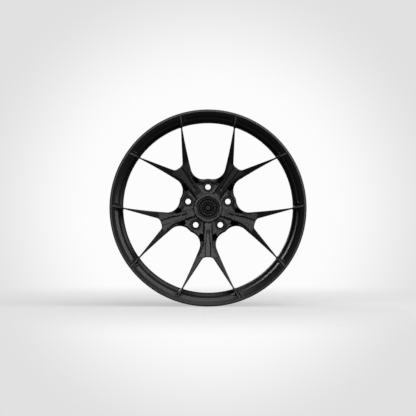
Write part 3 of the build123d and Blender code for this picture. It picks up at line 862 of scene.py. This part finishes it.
def beveled_back(points, big, small):
    x, y = points.T
    height = back_height(x, y)
    fade = 1 - smooth_step(np.hypot(x, y), 214, 222)
    for outline in (big, small):
        height = height + soft_ramp(BACK_BEVEL * fade - outline_distance(points, outline), BEVEL_ROUND)
    return height


def sheet_of(loop, inner):
    """Triangles over the plan; the loop's points come first and keep their order."""
    places = [Vector(p) for p in np.vstack([loop, inner])]
    count = len(loop)
    result = delaunay_2d_cdt(places, [], [list(range(count))], 1, 1e-5)
    return np.array([p[:] for p in result[0]]), [tuple(f) for f in result[2]]


def half_centre():
    """Half a spoke in millimetres: its vertices, its faces, and its outline's sharp edges."""
    loop, big, small = half_outline()
    count = len(loop)
    rows = np.vstack([offset_rows(big[::-1], BIG_ROWS), offset_rows(small[::-1], SMALL_ROWS)])
    rows = rows[inside_loop(rows, loop)]
    front_inner = inner_points(front_height, loop, rows, FRONT_FINEST)
    front_places, front_faces = sheet_of(loop, front_inner)
    back_inner = inner_points(back_height, loop, rows[::2], BACK_FINEST)
    back_places, back_faces = sheet_of(loop, back_inner)
    top = np.column_stack([front_places, beveled_front(front_places, big, small)])
    bottom = np.column_stack([back_places, beveled_back(back_places, big, small)])
    shift = len(top)
    faces = list(front_faces)
    faces += [tuple(reversed([i + shift for i in face])) for face in back_faces]
    half = SECTOR / 2
    off_axis = np.abs(loop[:, 1]) > 1e-6
    off_lug_line = np.abs(loop[:, 1] * math.cos(half) - loop[:, 0] * math.sin(half)) > 1e-6
    sharp = []
    for i in range(count):
        j = (i + 1) % count
        on_mirror = not (off_axis[i] or off_axis[j]) or not (off_lug_line[i] or off_lug_line[j])
        if on_mirror:
            continue
        faces.append((shift + i, shift + j, j, i))
        sharp += [(i, j), (shift + i, shift + j)]
    return np.vstack([top, bottom]), faces, sharp


def stand_up(points):
    """From the drawing frame, in millimetres, to the wheel's, in metres."""
    cos, sin = math.cos(CLOCKING), math.sin(CLOCKING)
    x = points[:, 0] * cos - points[:, 1] * sin
    y = points[:, 0] * sin + points[:, 1] * cos
    return np.column_stack([x, -points[:, 2], y]) * MM


def centre_mesh():
    vertices, faces, sharp = half_centre()
    every_vertex, every_face, every_sharp = [], [], []
    for turn in range(SPOKES):
        cos, sin = math.cos(SECTOR * turn), math.sin(SECTOR * turn)
        for side in (1, -1):
            shift = len(vertices) * len(every_vertex)
            x, y = vertices[:, 0], vertices[:, 1] * side
            every_vertex.append(np.column_stack([x * cos - y * sin, x * sin + y * cos, vertices[:, 2]]))
            for face in faces:
                order = face if side > 0 else reversed(face)
                every_face.append([i + shift for i in order])
            every_sharp += [(a + shift, b + shift) for a, b in sharp]
    places = stand_up(np.vstack(every_vertex))
    mesh = bpy.data.meshes.new("forged_centre_body")
    mesh.from_pydata(places.tolist(), [], every_face)
    mesh.polygons.foreach_set("use_smooth", [True] * len(every_face))
    shape = bmesh.new()
    shape.from_mesh(mesh)
    shape.verts.ensure_lookup_table()
    for a, b in every_sharp:
        edge = shape.edges.get((shape.verts[a], shape.verts[b]))
        edge.smooth = False
    bmesh.ops.remove_doubles(shape, verts=shape.verts, dist=WELD * MM)
    shape.to_mesh(mesh)
    shape.free()
    return mesh


def piece_of(name, mesh, finish, body):
    piece = bpy.data.objects.new(name, mesh)
    bpy.context.scene.collection.objects.link(piece)
    mesh.materials.append(FINISHES[finish])
    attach(piece, body)
    return piece


def forged_centre():
    piece = piece_of("forged_centre_body", centre_mesh(), "satin_black_coat", "wheel")
    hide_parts("forged_centre")
    return piece


# ---------------------------------------------------------------------- stage

def fade_from(tree, centre, near, far, start, end):
    """A number that goes smoothly from start to end with distance from a point, in metres."""
    place = tree.nodes.new("ShaderNodeTexCoord")
    apart = tree.nodes.new("ShaderNodeVectorMath")
    apart.operation = "DISTANCE"
    apart.inputs[1].default_value = centre
    fade = tree.nodes.new("ShaderNodeMapRange")
    fade.interpolation_type = "SMOOTHSTEP"
    fade.inputs["From Min"].default_value = near
    fade.inputs["From Max"].default_value = far
    fade.inputs["To Min"].default_value = start
    fade.inputs["To Max"].default_value = end
    tree.links.new(place.outputs["Object"], apart.inputs[0])
    tree.links.new(apart.outputs["Value"], fade.inputs["Value"])
    return fade.outputs["Result"]


def stage_material(name, pale):
    """Pale paper; the glow of its own that the caller adds stands in for a studio's backdrop lights."""
    material, tree, shader = new_material(name)
    shader.inputs["Roughness"].default_value = 0.9
    shader.inputs["Specular IOR Level"].default_value = 0.1
    shade = tuple(value * PAPER_SHADE for value in pale)
    tree.links.new(tint(tree, noise(tree, PAPER_CLOUDS), shade, pale), shader.inputs["Base Color"])
    shader.inputs["Emission Color"].default_value = (1, 1, 1, 1)
    return material, tree, shader


def stage_piece(name, vertices, faces, material):
    """A piece of the studio, which the camera sees and the wheel's gloss does not."""
    mesh = bpy.data.meshes.new(name)
    mesh.from_pydata(vertices, [], faces)
    mesh.polygons.foreach_set("use_smooth", [True] * len(faces))
    mesh.materials.append(material)
    piece = bpy.data.objects.new(name, mesh)
    piece.visible_glossy = False
    piece.visible_diffuse = False
    bpy.context.scene.collection.objects.link(piece)
    return piece


def floor():
    """A pale floor that fades into the backdrop all round."""
    material, tree, shader = stage_material("pale_floor", (0.25, 0.25, 0.25))
    shader.inputs["Emission Strength"].default_value = FLOOR_GLOW
    centre = (0, 0, FLOOR_Z)
    alpha = fade_from(tree, centre, FLOOR_FADE_START, FLOOR_R, 1.0, 0.0)
    tree.links.new(alpha, shader.inputs["Alpha"])
    rim = [(*polar(FLOOR_R, 2 * math.pi * step / FLOOR_STEPS), FLOOR_Z) for step in range(FLOOR_STEPS)]
    faces = [(step, (step + 1) % FLOOR_STEPS, FLOOR_STEPS) for step in range(FLOOR_STEPS)]
    stage_piece("studio_floor", [*rim, centre], faces, material)


def backdrop():
    """A pale dome all round, brightest behind the wheel."""
    material, tree, shader = stage_material("pale_backdrop", (0.02, 0.02, 0.02))
    glow = fade_from(tree, (0, DOME_R, 0), GLOW_NEAR, GLOW_FAR, GLOW_MIDDLE, GLOW_EDGE)
    tree.links.new(glow, shader.inputs["Emission Strength"])
    vertices = []
    for ring in range(DOME_RINGS + 1):
        tilt = math.pi * ring / DOME_RINGS - math.pi / 2
        flat, height = polar(DOME_R, tilt)
        for step in range(DOME_AROUND):
            vertices.append((*polar(flat, 2 * math.pi * step / DOME_AROUND), height))
    faces = []
    for low in range(0, DOME_RINGS * DOME_AROUND, DOME_AROUND):
        high = low + DOME_AROUND
        for step in range(DOME_AROUND):
            after = (step + 1) % DOME_AROUND
            faces.append((low + step, low + after, high + after, high + step))
    dome = stage_piece("studio_backdrop", vertices, faces, material)
    dome.visible_shadow = False


def softbox(name, place, target, size, watts):
    light = bpy.data.lights.new(name, "AREA")
    light.shape = "RECTANGLE"
    light.size, light.size_y = size
    light.energy = watts
    lamp = bpy.data.objects.new(name, light)
    lamp.location = place
    lamp.rotation_euler = (Vector(target) - Vector(place)).to_track_quat("-Z", "Y").to_euler()
    bpy.context.scene.collection.objects.link(lamp)
    return lamp


def studio():
    scene = bpy.context.scene
    scene.view_settings.view_transform = "Standard"
    world = bpy.data.worlds.new("studio")
    world.use_nodes = True
    background = world.node_tree.nodes["Background"]
    background.inputs["Color"].default_value = (1, 1, 1, 1)
    background.inputs["Strength"].default_value = WORLD_STRENGTH
    scene.world = world
    floor()
    backdrop()
    softbox("key_right", (2.5, -0.45, 1.0), (0, 0, 0), (1.8, 2.6), 52)
    softbox("key_top", (0.5, -0.9, 2.5), (0, 0, 0), (3.0, 2.8), 72)
    softbox("front_fill", (0.2, -7.0, 1.1), (0, 0, 0), (3.4, 1.9), 105)
    softbox("rear_fill", (-3.0, 5.0, 2.4), (0, 0, 0), (3.0, 3.0), 110)


def camera():
    scene = bpy.context.scene
    lens = bpy.data.cameras.new("camera")
    lens.lens = LENS
    lens.sensor_width = SENSOR
    lens.clip_end = 50.0
    eye = bpy.data.objects.new("camera", lens)
    eye.location = (0, LIP_Y - CAMERA_DISTANCE, 0)
    eye.rotation_euler = (math.pi / 2, 0, 0)
    scene.collection.objects.link(eye)
    scene.camera = eye


dress_cad_nodes()
forged_centre()
studio()
camera()
